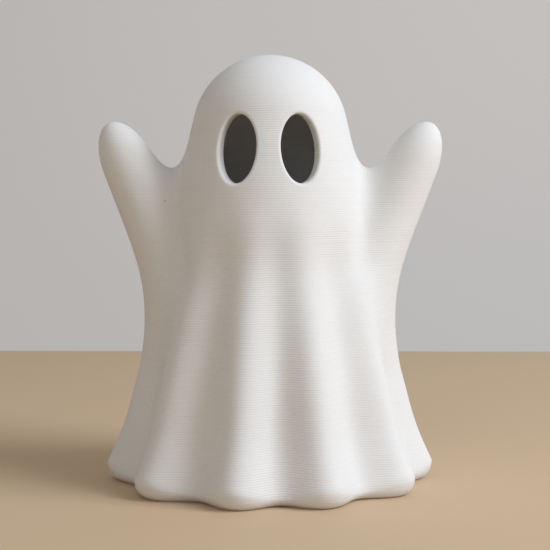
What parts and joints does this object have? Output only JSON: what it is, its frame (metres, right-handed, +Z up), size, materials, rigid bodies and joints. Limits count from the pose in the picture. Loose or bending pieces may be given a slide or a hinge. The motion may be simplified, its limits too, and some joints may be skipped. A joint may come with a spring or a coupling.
{
  "type": "ghost lantern figure",
  "caption": "Hollow matt white ghost figure with raised arms, folded hem and see-through eyes, on a pull-out base that holds a battery tea light.",
  "frame": {"origin": "on the table, under the centre of the figure's bounding box, which is the axis of the head and the hem", "axes": "+Z up, the face looks along -Y, and the arms reach out along +X and -X"},
  "size_m": [0.0964, 0.091, 0.12],
  "materials": {
    "bisque": "matt unglazed white with fine horizontal layer lines",
    "base_plastic": "fine moulded texture",
    "grip_rubber": "soft matt silicone",
    "cup_plastic": "moulded satin",
    "wax_plastic": "satin, wax look",
    "flame_plastic": "frosted, translucent look",
    "led_resin": "clear epoxy",
    "tinned_steel": "tinned wire",
    "contact_metal": "stamped strip",
    "cell_steel": "nickel-plated",
    "switch_plastic": "moulded"
  },
  "bodies": {
    "figure": {"ghost_shell": "bisque"},
    "base": {"base_cap": "base_plastic", "grip_ring": "grip_rubber"},
    "light": {"light_cup": "cup_plastic", "light_cover": "wax_plastic", "flame_lens": "flame_plastic", "led": "led_resin", "led_leads": "tinned_steel", "cell_holder": "cup_plastic", "cell_contact": "contact_metal", "side_contact": "contact_metal", "coin_cell": "cell_steel", "switch_plate": "contact_metal"},
    "door": {"battery_door": "cup_plastic"},
    "switch": {"switch_knob": "switch_plastic", "switch_wiper": "contact_metal"}
  },
  "joints": [
    {"name": "base_pull", "type": "slide", "parent": "figure", "child": "base", "axis": [0, 0, -1], "range_m": [0, 0.046]},
    {"name": "light_lift", "type": "slide", "parent": "base", "child": "light", "axis": [0, 0, 1], "range_m": [0, 0.02]},
    {"name": "door_swing", "type": "hinge", "parent": "light", "child": "door", "pos_m": [0, -0.00685, 0.003], "axis": [-1, 0, 0], "range_deg": [0, 90]},
    {"name": "switch_slide", "type": "slide", "parent": "light", "child": "switch", "axis": [1, 0, 0], "range_m": [0, 0.003]}
  ]
}
